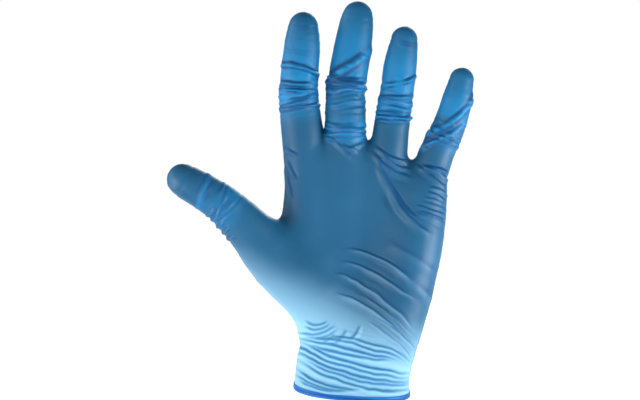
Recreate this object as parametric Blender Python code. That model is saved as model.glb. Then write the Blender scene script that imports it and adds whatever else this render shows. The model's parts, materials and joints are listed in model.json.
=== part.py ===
"""A disposable nitrile glove, in the shape that it has on a left hand held up with the palm forward.

The glove is one dipped film with a rolled bead at its mouth. It is built here in the zones in which the film
moves: rigid tubes that keep their shape, and fold bands between them that crumple as a knuckle bends.
Metres, +Z to the fingertips, palm facing -Y, thumb at -X, origin in the middle of the mouth.
"""

import math
from collections import namedtuple

import bmesh
import bpy
import numpy as np
from mathutils import Matrix

MM = 0.001

# Film and clearances, in millimetres.
FILM = 0.4
SEAM_GAP = 0.3
BEND_CLEARANCE = 0.6
BEAD_RADIUS = 1.0

# Greatest bends, in degrees, knuckle by knuckle from the hand outwards.
WRIST_BEND = 40.0
FINGER_BENDS = {"base": 60.0, "mid": 80.0, "end": 48.0}
THUMB_BENDS = {"base": 25.0, "end": 45.0}

# Wrist, in millimetres. Its fold reaches as far from the axis as the bend needs.
MOUTH_TILT = math.radians(6.0)
WRIST_AXIS = 30.0
WRIST_HALF_DEPTH = 23.0
WRIST_ROOM = WRIST_HALF_DEPTH * math.tan(math.radians(WRIST_BEND) / 2) + BEND_CLEARANCE
CUFF_TOP = WRIST_AXIS - WRIST_ROOM - SEAM_GAP
HAND_BOTTOM = WRIST_AXIS + WRIST_ROOM + SEAM_GAP
SPLIT = 2.5

# How finely the film is faceted, and its roundness: 2 is an ellipse, more is boxier.
RING_POINTS = 16
HAND_POINTS = 40
RING_STEP = 5.0
CAP_RINGS = 4
ROUNDNESS = 2.3

# A knuckle's axis lies this far from the centreline, towards the way it bends.
AXIS_OFFSET = 3.5
ROOT_FLARE = 1.2

# A cross-section of the hand: height, left and right edges, front and back faces, all in millimetres.
Section = namedtuple("Section", "z left right front back tilt")
HAND = (
    Section(0.0, -34.0, 34.0, -24.0, 24.0, MOUTH_TILT),
    Section(10.0, -33.3, 35.0, -23.4, 22.8, MOUTH_TILT / 2),
    Section(CUFF_TOP, -32.0, 36.5, -23.0, 21.5, 0.0),
    Section(40.0, -31.5, 41.0, -22.0, 19.5, 0.0),
    Section(56.0, -43.0, 47.5, -23.5, 17.5, 0.0),
    Section(74.0, -51.0, 51.5, -23.5, 15.5, 0.0),
    Section(92.0, -47.0, 54.0, -20.0, 14.0, 0.0),
    Section(110.0, -42.0, 55.5, -16.0, 13.0, 0.0),
    Section(128.0, -40.0, 57.0, -13.5, 12.5, 0.0),
    Section(142.0, -40.0, 58.5, -11.0, 11.5, 0.0),
)
KNUCKLE_SLOPE = math.tan(math.radians(9.0))

# A stall: where it leaves the hand, its knuckles and its end as (x, y, z), half widths there and at the cap,
# how deep it is for its width, how far it runs down inside the palm, its bends, and the way that it bends.
Stall = namedtuple("Stall", "points half_widths depth root bends flex_towards")
FINGER_FLEX = (0.0, -1.0, 0.0)
THUMB_FLEX = (0.44, -0.8, 0.9)
STALLS = {
    "index_finger": Stall(((-28.6, 0.0, 152.0), (-31.2, -1.5, 178.0), (-29.4, -4.5, 200.5),
                           (-27.5, -9.5, 226.0)),
                          (12.3, 11.5, 11.1, 10.2), 0.88, 24.0, FINGER_BENDS, FINGER_FLEX),
    "middle_finger": Stall(((-3.3, 0.0, 154.0), (-3.0, -1.0, 180.0), (0.8, -3.5, 203.0), (5.4, -8.5, 232.5)),
                           (12.2, 11.7, 11.3, 10.4), 0.88, 24.0, FINGER_BENDS, FINGER_FLEX),
    "ring_finger": Stall(((22.7, 0.0, 147.0), (26.2, -1.5, 171.5), (29.0, -4.5, 192.5), (32.4, -9.5, 217.5)),
                         (11.4, 10.5, 10.2, 9.4), 0.88, 24.0, FINGER_BENDS, FINGER_FLEX),
    "little_finger": Stall(((48.5, -1.0, 138.5), (57.2, -3.0, 157.5), (62.0, -5.5, 173.5),
                            (65.4, -9.5, 193.5)),
                           (10.7, 9.7, 9.4, 8.7), 0.88, 24.0, FINGER_BENDS, FINGER_FLEX),
    "thumb": Stall(((-55.0, -12.0, 89.0), (-75.6, -19.0, 110.0), (-110.0, -24.0, 127.0)),
                   (15.8, 12.3, 10.8), 0.86, 36.0, THUMB_BENDS, THUMB_FLEX),
}

FILM_BLUE = (0.045, 0.235, 0.530, 1.0)
BEAD_BLUE = (0.020, 0.150, 0.430, 1.0)


def unit(vector):
    return np.asarray(vector, float) / np.linalg.norm(vector)


class Centreline:
    """The smooth line through a stall's points, by length from where the stall leaves the hand."""

    def __init__(self, stall):
        self.points = np.array(stall.points, float)
        steps = np.diff(self.points, axis=0)
        lengths = np.linalg.norm(steps, axis=1)
        self.at = np.concatenate([[0.0], np.cumsum(lengths)])
        way = steps / lengths[:, None]
        middle = [unit(a + b) for a, b in zip(way[:-1], way[1:])]
        self.ways = np.array([way[0], *middle, way[-1]])
        self.end = self.at[-1]

    def point_and_way(self, s):
        """Cubic Hermite between the two nearest points, and straight before the first one."""
        if s <= 0.0:
            return self.points[0] + self.ways[0] * s, self.ways[0]
        k = min(int(np.searchsorted(self.at, s, side="right")) - 1, len(self.at) - 2)
        span = self.at[k + 1] - self.at[k]
        t = (s - self.at[k]) / span
        p, q = self.points[k], self.points[k + 1]
        a, b = self.ways[k] * span, self.ways[k + 1] * span
        point = (p * (2 * t**3 - 3 * t**2 + 1) + a * (t**3 - 2 * t**2 + t)
                 + q * (3 * t**2 - 2 * t**3) + b * (t**3 - t**2))
        way = ((p - q) * (6 * t**2 - 6 * t)
               + a * (3 * t**2 - 4 * t + 1) + b * (3 * t**2 - 2 * t))
        return point, unit(way)


def oval(count, half_width, half_depth):
    """Points of a superellipse, from +X round through +Y."""
    angles = np.arange(count) * (2 * math.pi / count)
    c, s = np.cos(angles), np.sin(angles)
    x = half_width * np.sign(c) * np.abs(c) ** (2 / ROUNDNESS)
    y = half_depth * np.sign(s) * np.abs(s) ** (2 / ROUNDNESS)
    return np.stack([x, y], 1)


def side_ways(way):
    """The stall's width and depth directions at a point of its centreline."""
    across = unit(np.cross([0.0, 1.0, 0.0], way))
    return across, np.cross(way, across)


def stall_ring(stall, line, s, inset, flare=0.0):
    """One ring of a stall's film, s millimetres up its centreline."""
    point, way = line.point_and_way(s)
    across, through = side_ways(way)
    half = np.interp(s, [*line.at[:-1], line.end - stall.half_widths[-1]], stall.half_widths) + flare
    into_cap = max(0.0, s - (line.end - stall.half_widths[-1])) / stall.half_widths[-1]
    half *= math.sqrt(max(0.0, 1.0 - into_cap**2))
    flat = oval(RING_POINTS, max(half - inset, 0.5), max(half * stall.depth - inset, 0.5))
    return point + flat[:, :1] * across + flat[:, 1:] * through


def hand_ring(section, inset):
    """One ring of the hand's film. The mouth tips forward; the knuckle end slopes to the little finger."""
    half_width = (section.right - section.left) / 2 - inset
    half_depth = (section.back - section.front) / 2 - inset
    flat = oval(HAND_POINTS, half_width, half_depth)
    x = flat[:, 0] + (section.left + section.right) / 2
    y = flat[:, 1] + (section.front + section.back) / 2
    knuckle_end = np.clip((section.z - HAND[-3].z) / (HAND[-1].z - HAND[-3].z), 0.0, 1.0)
    z = section.z + y * math.tan(section.tilt) - (x - 9.0) * KNUCKLE_SLOPE * knuckle_end
    return np.stack([x, y, z], 1)


def between(z):
    """The hand's section at any height, from the two sections beside it."""
    heights = [section.z for section in HAND]
    return Section(z, *(np.interp(z, heights, column) for column in list(zip(*HAND))[1:]))


def skin(name, rings, close_start, close_end):
    """A mesh through the rings, in metres, with its ends closed or left open."""
    bm = bmesh.new()
    loops = [[bm.verts.new(point * MM) for point in ring] for ring in rings]
    for lower, upper in zip(loops[:-1], loops[1:]):
        for k, (a, b) in enumerate(zip(lower, upper)):
            after = (k + 1) % len(lower)
            bm.faces.new((a, lower[after], upper[after], b))
    if close_start:
        bm.faces.new(loops[0][::-1])
    if close_end:
        bm.faces.new(loops[-1])
    bmesh.ops.triangulate(bm, faces=bm.faces)
    mesh = bpy.data.meshes.new(name)
    bm.to_mesh(mesh)
    bm.free()
    return mesh


def add_object(name, mesh, material):
    obj = bpy.data.objects.new(name, mesh)
    obj.data.materials.append(material)
    obj.data.shade_smooth()
    bpy.context.scene.collection.objects.link(obj)
    return obj


def add_helper(name, mesh):
    """A cutter or a piece to join: it shapes other objects and isn't one itself."""
    obj = bpy.data.objects.new(name, mesh)
    obj.hide_render = True
    obj.display_type = "WIRE"
    bpy.context.scene.collection.objects.link(obj)
    return obj


def add_film(name, rings, material, close_end=False):
    """A node of film: an open skin that gets its thickness inwards."""
    obj = add_object(name, skin(name, rings, False, close_end), material)
    wall = obj.modifiers.new("film", "SOLIDIFY")
    wall.thickness = FILM * MM
    wall.offset = -1.0
    wall.use_even_offset = True
    return obj


def finish(name, roughness, colour):
    material = bpy.data.materials.new(name)
    material.use_nodes = True
    shader = material.node_tree.nodes["Principled BSDF"]
    shader.inputs["Base Color"].default_value = colour
    shader.inputs["Roughness"].default_value = roughness
    shader.inputs["Metallic"].default_value = 0.0
    return material


def boolean(obj, operation, other):
    cut = obj.modifiers.new(f"{operation.lower()}_{other.name}", "BOOLEAN")
    cut.operation = operation
    cut.solver = "MANIFOLD"
    cut.object = other


def spaced(start, end):
    """Lengths from start to end, about a ring's step apart."""
    return np.linspace(start, end, max(2, round((end - start) / RING_STEP) + 1))


def bend_room(half_depth, degrees):
    """How far each side of a knuckle's axis a rigid tube must end so that its rim clears the next one."""
    return (half_depth - AXIS_OFFSET) * math.tan(math.radians(degrees) / 2) + BEND_CLEARANCE


def film_rings(stall, line, start, end):
    return [stall_ring(stall, line, s, 0.0) for s in spaced(start, end)]


def tip_rings(stall, line, start):
    """Rings up to the cap, and closer together round it."""
    cap = line.end - stall.half_widths[-1]
    turns = np.linspace(0.0, math.pi / 2, CAP_RINGS + 1)[1:]
    up_the_cap = [cap + stall.half_widths[-1] * math.sin(turn) for turn in turns]
    return [stall_ring(stall, line, s, 0.0) for s in (*spaced(start, cap), *up_the_cap)]


def add_axis(name, point, axis, parent):
    """An empty on a joint's axis, which is its X. What hangs from it turns about that line."""
    empty = bpy.data.objects.new(name, None)
    empty.empty_display_size = 0.01
    along = unit(axis)
    across = unit(np.cross(along, [0.0, 0.0, 1.0]))
    turned = Matrix(np.stack([along, across, np.cross(along, across)], 1).tolist()).to_4x4()
    empty.matrix_basis = Matrix.Translation(np.asarray(point) * MM) @ turned
    bpy.context.scene.collection.objects.link(empty)
    if parent:
        attach(empty, parent)
    return empty


def attach(obj, empty):
    """Hangs an object from an empty and leaves it where it is."""
    obj.parent = empty
    obj.matrix_parent_inverse = empty.matrix_basis.inverted()


def knuckle_axis(stall, line, s):
    """A point on the axis of the knuckle at s, and the axis: the same one for every knuckle of the stall."""
    stall_way = unit(line.points[-1] - line.points[0])
    axis = unit(np.cross(stall_way, stall.flex_towards))
    point, way = line.point_and_way(s)
    return point + unit(np.cross(axis, way)) * AXIS_OFFSET, axis


def knuckles(stall, line):
    """Each knuckle's place along the centreline, and how far its fold band reaches each way."""
    rooms = [bend_room(half * stall.depth, bend)
             for half, bend in zip(stall.half_widths, stall.bends.values())]
    return list(zip([SEAM_GAP + rooms[0], *line.at[1:-1]], rooms))


def build_stall(name, stall, film, hand_axis):
    """A stall's fold bands and tubes. The four fingers have three knuckles, and the thumb has two."""
    line = Centreline(stall)
    places = knuckles(stall, line)
    tubes = ["lower_tube", "upper_tube"][:len(places) - 1]
    carrier = hand_axis
    for k, (knuckle, (at, room)) in enumerate(zip(stall.bends, places)):
        band = film_rings(stall, line, at - room, at + room)
        attach(add_film(f"{name}_{knuckle}_fold", band, film), carrier)
        carrier = add_axis(f"{name}_{knuckle}_axis", *knuckle_axis(stall, line, at), carrier)
        start = at + room + SEAM_GAP
        if k < len(tubes):
            next_at, next_room = places[k + 1]
            rings = film_rings(stall, line, start, next_at - next_room - SEAM_GAP)
            attach(add_film(f"{name}_{tubes[k]}", rings, film), carrier)
        else:
            attach(add_film(f"{name}_tip", tip_rings(stall, line, start), film, close_end=True), carrier)


def root_mesh(name, stall, inset):
    """The part of a stall that joins the hand, from inside the palm to the first fold."""
    line = Centreline(stall)
    past_end = 2.0 if inset else 0.0
    flares = ((-stall.root, 0.0), (-stall.root / 2, ROOT_FLARE), (0.0, 0.0), (past_end, 0.0))
    rings = [stall_ring(stall, line, s, inset, flare) for s, flare in flares[:3 + bool(inset)]]
    return skin(name, rings, True, True)


def hand_mesh(name, bottom, inset):
    sections = [between(bottom), *(section for section in HAND if section.z > bottom)]
    rings = [hand_ring(section, inset) for section in sections]
    if inset:
        rings[-1][:, 2] -= inset
    return skin(name, rings, True, True)


def half_space(name, front):
    """A box over the front or the back half of the hand, split down its sides."""
    depth, width, low, high = 80.0, 200.0, 0.0, 200.0
    near, far = (-depth, SPLIT - SEAM_GAP / 2) if front else (SPLIT + SEAM_GAP / 2, depth)
    floor = [(-width, near, low), (width, near, low), (width, far, low), (-width, far, low)]
    ceiling = [(x, y, high) for x, y, _ in floor]
    return skin(name, [np.array(floor, float), np.array(ceiling, float)], True, True)


def joined_helper(name, bottom, inset):
    """The hand and the roots of its stalls as one closed shape."""
    joined = add_helper(name, hand_mesh(name, bottom, inset))
    for stall_name, stall in STALLS.items():
        root = f"{name}_{stall_name}"
        boolean(joined, "UNION", add_helper(root, root_mesh(root, stall, inset)))
    return joined


def build_hand(film, hand_axis):
    """Palm and back of the hand: the skin of hand and stall roots, hollowed by the same shape inset."""
    skin_shape = joined_helper("hand_skin", HAND_BOTTOM, 0.0)
    hollow = joined_helper("hand_hollow", HAND_BOTTOM - 2.0, FILM)
    boolean(skin_shape, "DIFFERENCE", hollow)
    for node, front in (("palm", True), ("back_of_hand", False)):
        obj = add_object(node, half_space(node, front), film)
        boolean(obj, "INTERSECT", skin_shape)
        attach(obj, hand_axis)


def build_cuff(film, bead_blue):
    """Cuff, wrist fold, and the bead rolled from the film's own edge."""
    above_bead = 2 * BEAD_RADIUS + SEAM_GAP
    for name, start, end in (("cuff_sleeve", above_bead, CUFF_TOP),
                             ("wrist_fold", CUFF_TOP + SEAM_GAP, HAND_BOTTOM - SEAM_GAP)):
        add_film(name, [hand_ring(between(z), 0.0) for z in spaced(start, end)], film)
    path = bpy.data.curves.new("rolled_bead", "CURVE")
    path.dimensions = "3D"
    path.bevel_depth = BEAD_RADIUS * MM
    path.bevel_resolution = 2
    points = hand_ring(between(BEAD_RADIUS), 0.0) * MM
    spline = path.splines.new("POLY")
    spline.points.add(len(points) - 1)
    for slot, point in zip(spline.points, points):
        slot.co = (*point, 1.0)
    spline.use_cyclic_u = True
    bead = bpy.data.objects.new("rolled_bead", path)
    path.materials.append(bead_blue)
    bpy.context.scene.collection.objects.link(bead)


def main():
    for obj in list(bpy.data.objects):
        bpy.data.objects.remove(obj)
    film = finish("nitrile_film", 0.45, FILM_BLUE)
    bead_blue = finish("rolled_film", 0.4, BEAD_BLUE)
    build_cuff(film, bead_blue)
    wrist = between(WRIST_AXIS)
    middle = ((wrist.left + wrist.right) / 2, (wrist.front + wrist.back) / 2, WRIST_AXIS)
    hand_axis = add_axis("wrist_axis", middle, (1.0, 0.0, 0.0), None)
    build_hand(film, hand_axis)
    for name, stall in STALLS.items():
        build_stall(name, stall, film, hand_axis)


main()
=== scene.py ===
"""Looks of a disposable nitrile glove, in the shape it has on a left hand: thin film, folds and bead.

The film is the zero surface of a field: a smooth union of an oval sleeve and tapering limbs. The surface is
found on a grid, drawn onto the field, split finer, and then moved in and out along its own normals.

Folds lie in fans: parabolas spaced evenly between two arcs on the front or the back, each a lopsided bell
across. Rings lie in bunches round the stalls: tilted and bowed bells, with ridged noise between them. The
bead is a tube along the mouth, and its section is an oval with a notch.

Lengths are millimetres in the frame's axes until a mesh is made, which is in metres.
"""

import json
import math
from collections import namedtuple

import bpy
import numpy as np
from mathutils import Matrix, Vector


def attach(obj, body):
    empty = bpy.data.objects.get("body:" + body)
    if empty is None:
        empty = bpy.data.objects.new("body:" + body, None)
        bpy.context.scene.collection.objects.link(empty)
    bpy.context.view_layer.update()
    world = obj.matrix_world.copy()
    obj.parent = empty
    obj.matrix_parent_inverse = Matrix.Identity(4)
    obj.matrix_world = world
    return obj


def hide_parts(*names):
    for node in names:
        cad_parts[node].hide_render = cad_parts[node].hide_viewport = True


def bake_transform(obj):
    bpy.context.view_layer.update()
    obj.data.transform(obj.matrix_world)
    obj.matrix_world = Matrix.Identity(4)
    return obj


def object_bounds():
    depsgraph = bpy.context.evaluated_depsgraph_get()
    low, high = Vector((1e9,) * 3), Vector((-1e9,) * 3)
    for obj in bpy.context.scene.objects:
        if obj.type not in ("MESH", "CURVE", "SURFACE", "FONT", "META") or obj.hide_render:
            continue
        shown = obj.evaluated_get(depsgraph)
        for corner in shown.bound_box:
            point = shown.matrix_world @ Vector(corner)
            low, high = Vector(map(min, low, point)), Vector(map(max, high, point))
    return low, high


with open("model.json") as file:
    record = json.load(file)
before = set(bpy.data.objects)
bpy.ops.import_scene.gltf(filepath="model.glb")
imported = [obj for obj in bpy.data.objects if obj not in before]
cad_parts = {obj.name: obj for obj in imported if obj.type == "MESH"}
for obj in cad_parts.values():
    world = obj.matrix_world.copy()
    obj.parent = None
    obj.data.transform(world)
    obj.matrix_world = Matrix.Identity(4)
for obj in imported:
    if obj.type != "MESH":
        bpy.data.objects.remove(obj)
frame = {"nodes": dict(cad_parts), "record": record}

CAD_LOW, CAD_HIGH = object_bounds()
MM = 0.001

# The film's thickness.
FILM = 0.15

# The grid: its step, how far it goes past the glove's box, how deep it is each way, and how near zero a
# value has to be, in coarse cells, to be worked out on the fine grid too.
GRID_STEP = 1.25
GRID_ROOM, GRID_HALF_DEPTH = 4.0, 36.0
NEAR_SHARE = 1.9

# The step over which the field's slope is measured, and the least square of the slope that is divided by.
SLOPE_STEP, LEAST_SLOPE = 0.05, 0.05

# The mouth's plane: its slopes and its height, and how high up the grid still follows it.
MOUTH_TILT, MOUTH_SIDE_TILT = math.tan(math.radians(6.0)), math.tan(math.radians(4.0))
MOUTH_RISE, MOUTH_FADE = 1.9, 20.0

# A stall: how far its centreline is from its hinges, and how near the farthest point of its tip a point has
# to be to count as its end.
AXIS_OFFSET, END_SLICE = 3.5, 0.2

# The half widths of a stall's round end and its pad as shares of that at its last knuckle, how far the pad is
# below the end, and how far the end is drawn in.
TIP_TAPER, PAD_TAPER = 0.79, 0.90
PAD_BACK, TIP_ROOM = 14.0, 1.6

# How deep a limb is, as a share of its width.
STALL_DEPTH, HYPOTHENAR_DEPTH = 0.9, 0.95

# Each stall's width as a share of its folds' in the frame, and how far it is moved.
STALL_WIDTH = {
    "index_finger": 0.96, "middle_finger": 0.96, "ring_finger": 0.95, "little_finger": 0.93, "thumb": 0.88,
}
STALL_SHIFT = {"thumb": (1.0, 0.0, 1.6), "little_finger": (0.8, 0.0, 0.0)}

# How softly neighbours join in the palm and between the fingers; where the first changes to the second, and
# over what height; and how much lower that is for each millimetre past the ring finger's side.
PALM_JOIN, WEB_JOIN = 16.0, 1.2
WEB_START, WEB_RISE = 134.0, 26.0
WEB_SLANT, RING_SIDE = 0.35, 15.0

JOINTS = {joint["name"]: joint for joint in frame["record"]["behaviour"]["joints"]}
FINGERS = ("index_finger", "middle_finger", "ring_finger", "little_finger")
KNUCKLES = {**{finger: ("base", "mid", "end") for finger in FINGERS}, "thumb": ("base", "end")}


def unit(vector):
    """The vector at length 1."""
    return np.asarray(vector, float) / np.linalg.norm(vector)


def smooth(t):
    """0 below 0, 1 above 1, and an S curve between."""
    t = np.clip(t, 0.0, 1.0)
    return t * t * (3.0 - 2.0 * t)


# ---------------------------------------------------------------- the hand's shape

# A limb is a row of points: the points, the directions across and through, the radii across, the radius
# through as a share of the one across, and how far along each point is.
Limb = namedtuple("Limb", "points across through radii depth lengths")
# How many of its runs go from one station, where its place and radius are given, to the next.
LIMB_STEPS = 2


def curve_through(knots, steps):
    """A smooth curve (Catmull-Rom) through the knots, with so many steps from each to the next."""
    knots = np.asarray(knots, float)
    ends = np.vstack([2 * knots[0] - knots[1], knots, 2 * knots[-1] - knots[-2]])
    t = np.linspace(0.0, 1.0, steps + 1)[:-1, None]
    runs = [0.5 * (2 * b + (c - a) * t + (2 * a - 5 * b + 4 * c - d) * t**2
                   + (3 * b - a - 3 * c + d) * t**3)
            for a, b, c, d in zip(ends[:-3], ends[1:-2], ends[2:-1], ends[3:])]
    return np.vstack([*runs, knots[-1:]])


def make_limb(stations, radii, across, through, depth, root):
    """A limb through the stations, with its radii on the same curve. Lengths count from station root."""
    line = curve_through(np.column_stack([stations, radii]), LIMB_STEPS)
    lengths = np.concatenate([[0.0], np.cumsum(np.linalg.norm(np.diff(line[:, :3], axis=0), axis=1))])
    return Limb(line[:, :3], across, through, line[:, 3], depth, lengths - lengths[LIMB_STEPS * root])


def node_points(node):
    """A node's vertices at rest, in millimetres."""
    mesh = frame["nodes"][node].data
    points = np.empty(len(mesh.vertices) * 3)
    mesh.vertices.foreach_get("co", points)
    return points.reshape(-1, 3) / MM


def knuckle_line(name):
    """A stall's centre at each knuckle, its end, its direction across, and its half width at each knuckle.

    A centre is off its hinge's axis, at right angles to the axis and to the stall.
    """
    hinges = [JOINTS[f"{name}_{knuckle}_bend"] for knuckle in KNUCKLES[name]]
    on_axis = np.array([hinge["pos_m"] for hinge in hinges]) / MM
    tip = node_points(f"{name}_tip")
    reach = tip @ unit(on_axis[-1] - on_axis[0])
    end = tip[reach > reach.max() - END_SLICE].mean(0)
    ways = np.gradient(np.vstack([on_axis, end]), axis=0)[:-1]
    centres = np.array([point - AXIS_OFFSET * unit(np.cross(hinge["axis"], way))
                        for point, hinge, way in zip(on_axis, hinges, ways)])
    across = unit(np.cross([0.0, 1.0, 0.0], end - centres[0]))
    widths = np.array([np.abs((node_points(f"{name}_{knuckle}_fold") - centre) @ across).max()
                       for knuckle, centre in zip(KNUCKLES[name], centres)])
    return centres, end, across, widths


# Where each finger's limb runs inside the hand, from the wrist up: x, y, z and radius.
METACARPALS = {
    "index_finger": ((-14.0, 0.5, 44.0, 11.0), (-26.5, -0.5, 94.0, 13.2), (-27.0, 0.0, 128.0, 12.2)),
    "middle_finger": ((-4.0, 1.0, 44.0, 12.0), (-5.0, 0.5, 92.0, 12.4), (-3.8, 0.5, 130.0, 12.5)),
    "ring_finger": ((11.0, 1.0, 44.0, 12.0), (17.0, 0.5, 90.0, 12.4), (20.2, 0.5, 126.0, 12.1)),
    "little_finger": ((22.0, 0.5, 42.0, 12.0), (35.5, -1.0, 86.0, 12.8), (42.4, -0.5, 116.0, 11.4)),
}
THENAR = ((-6.0, -3.0, 35.0, 11.0), (-24.0, -7.5, 57.5, 15.6), (-43.0, -9.5, 76.5, 16.2))
HYPOTHENAR = ((20.0, -3.0, 34.0, 13.0), (32.0, -6.5, 62.0, 14.6), (39.0, -4.5, 92.0, 13.2),
              (41.6, -2.0, 112.0, 10.8))


def stall_limb(name):
    """A stall's limb: up through the hand, by its knuckles, and narrowing from the last to its round end."""
    centres, end, across, widths = knuckle_line(name)
    widths = widths * STALL_WIDTH[name]
    shift = np.array(STALL_SHIFT.get(name, (0.0, 0.0, 0.0)))
    centres, end = centres + shift, end + shift
    inside = np.array(THENAR if name == "thumb" else METACARPALS[name])
    way = unit(end - centres[-1])
    end = end - way * TIP_ROOM
    cap = widths[-1] * TIP_TAPER
    stations = np.vstack([inside[:, :3], centres, end - way * PAD_BACK, end - way * cap])
    radii = [*inside[:, 3], *widths, widths[-1] * PAD_TAPER, cap]
    through = unit(np.cross(end - centres[0], across))
    return make_limb(stations, radii, across, through, STALL_DEPTH, len(inside))


def hypothenar_limb():
    """The pad on the little finger's side of the palm."""
    inside = np.array(HYPOTHENAR)
    across, through = np.eye(3)[:2]
    return make_limb(inside[:, :3], inside[:, 3], across, through, HYPOTHENAR_DEPTH, 0)


LIMBS = {name: stall_limb(name) for name in KNUCKLES}
LIMBS["hypothenar"] = hypothenar_limb()

# The sleeve round the wrist: height, left and right edges, front and back faces; and its sections' power.
SLEEVE = np.array((
    (-4.0, -34.0, 34.2, -24.0, 24.0), (10.0, -33.0, 34.6, -23.2, 22.8), (22.0, -31.8, 36.4, -22.6, 21.5),
    (36.0, -26.4, 36.6, -21.0, 19.0), (48.0, -19.0, 36.6, -17.0, 15.5), (60.0, -13.0, 32.0, -11.0, 10.5),
    (72.0, -6.0, 22.0, -5.0, 5.0),
))
SLEEVE_POWER = 2.35


def limb_distance(limb, points):
    """Distance to a limb's skin, and where a point is: how far along, and across and through in radii.

    On each run the nearest point of the straight line is taken, and the distance through the limb counts for
    more than the one across it, which makes its section an ellipse. The least over the runs holds.
    """
    best = np.full(len(points), np.inf)
    along, side, depth = np.zeros((3, len(points)))
    for k in range(len(limb.points) - 1):
        start, run = limb.points[k], limb.points[k + 1] - limb.points[k]
        t = np.clip((points - start) @ run / (run @ run), 0.0, 1.0)
        off = points - start - t[:, None] * run
        radius = limb.radii[k] + t * (limb.radii[k + 1] - limb.radii[k])
        through = off @ limb.through
        distance = np.sqrt((off * off).sum(1) + through**2 * (limb.depth**-2 - 1.0)) - radius
        near = distance < best
        best[near] = distance[near]
        along[near] = (limb.lengths[k] + t * (limb.lengths[k + 1] - limb.lengths[k]))[near]
        side[near] = (off @ limb.across / radius)[near]
        depth[near] = (through / (radius * limb.depth))[near]
    return best, along, side, depth


def sleeve_distance(points):
    """Distance to the sleeve, closed over at its top. Its section at the point's height is a superellipse."""
    left, right, front, back = (np.interp(points[:, 2], SLEEVE[:, 0], column) for column in SLEEVE.T[1:])
    across, through = (right - left) / 2, (back - front) / 2
    u = np.abs(points[:, 0] - (right + left) / 2) / across
    v = np.abs(points[:, 1] - (front + back) / 2) / through
    rim = (u**SLEEVE_POWER + v**SLEEVE_POWER) ** (1.0 / SLEEVE_POWER)
    return np.maximum((rim - 1.0) * (u * across + v * through) / np.maximum(u + v, 1e-6),
                      points[:, 2] - SLEEVE[-1, 0])


def join_width(points):
    """How softly neighbours join: widely in the palm and tightly between the fingers, on an S curve between.

    The change is lower towards the little finger, whose web is lower.
    """
    start = WEB_START - WEB_SLANT * np.maximum(points[:, 0] - RING_SIDE, 0.0)
    return PALM_JOIN + (WEB_JOIN - PALM_JOIN) * smooth((points[:, 2] - start) / WEB_RISE)


def field(points):
    """The whole shape: the smooth union of sleeve and limbs.

    Two distances join as the lesser one, less a quarter of the join's width times the square of how equal
    they are: 1 where they are the same, and 0 where they differ by that width or more.
    """
    total = sleeve_distance(points)
    width = join_width(points)
    for limb in LIMBS.values():
        reach = limb.radii.max() + PALM_JOIN
        low, high = limb.points.min(0) - reach, limb.points.max(0) + reach
        near = np.flatnonzero(((points > low) & (points < high)).all(1))
        distance = limb_distance(limb, points[near])[0]
        gap = np.maximum(width[near] - np.abs(total[near] - distance), 0.0) / width[near]
        total[near] = np.minimum(total[near], distance) - gap**2 * width[near] / 4.0
    return total


def draw_onto_field(points, times):
    """Moves each point along the field's slope, to where an even slope would reach zero, so many times."""
    for _ in range(times):
        here = field(points)
        ahead = [field(points + step) for step in np.eye(3) * SLOPE_STEP]
        slope = np.column_stack([value - here for value in ahead]) / SLOPE_STEP
        share = np.clip(here, -GRID_STEP, GRID_STEP) / np.maximum((slope**2).sum(1), LEAST_SLOPE)
        points = points - slope * share[:, None]
    return points


def mouth_height(points):
    """The mouth's plane: it tips forward, and down to the little finger's side."""
    return MOUTH_RISE + points[:, 1] * MOUTH_TILT - points[:, 0] * MOUTH_SIDE_TILT


def sheared(points):
    """Grid points in the frame: the lowest are on the mouth's plane, and those above follow less and less."""
    fade = np.clip(1.0 - points[:, 2] / MOUTH_FADE, 0.0, 1.0)
    return np.column_stack([points[:, :2], points[:, 2] + mouth_height(points) * fade])


# ---------------------------------------------------------------- grid to mesh

def grid_points(low, counts, step):
    """Every corner of a grid, in the frame."""
    axes = [low[k] + step * np.arange(counts[k]) for k in range(3)]
    return sheared(np.stack(np.meshgrid(*axes, indexing="ij"), -1).reshape(-1, 3))


def grid_field(low, cells):
    """The field at every grid corner.

    It is worked out on a grid twice as coarse first, and on the fine one where the coarse one is near zero.
    Elsewhere the coarse value does, because only its sign counts there.
    """
    coarse = field(grid_points(low, cells + 1, 2 * GRID_STEP)).reshape(cells + 1)
    near = np.abs(coarse) < 2 * GRID_STEP * NEAR_SHARE
    fine = 2 * cells + 1
    double = [np.arange(count) // 2 for count in fine]
    values = coarse[np.ix_(*double)].copy()
    wanted = near[np.ix_(*double)].copy()
    for axis in range(3):
        other = [*double]
        other[axis] = (np.arange(fine[axis]) + 1) // 2
        wanted |= near[np.ix_(*other)]
    where = np.argwhere(wanted)
    values[wanted] = field(sheared(low + GRID_STEP * where))
    return values


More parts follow.
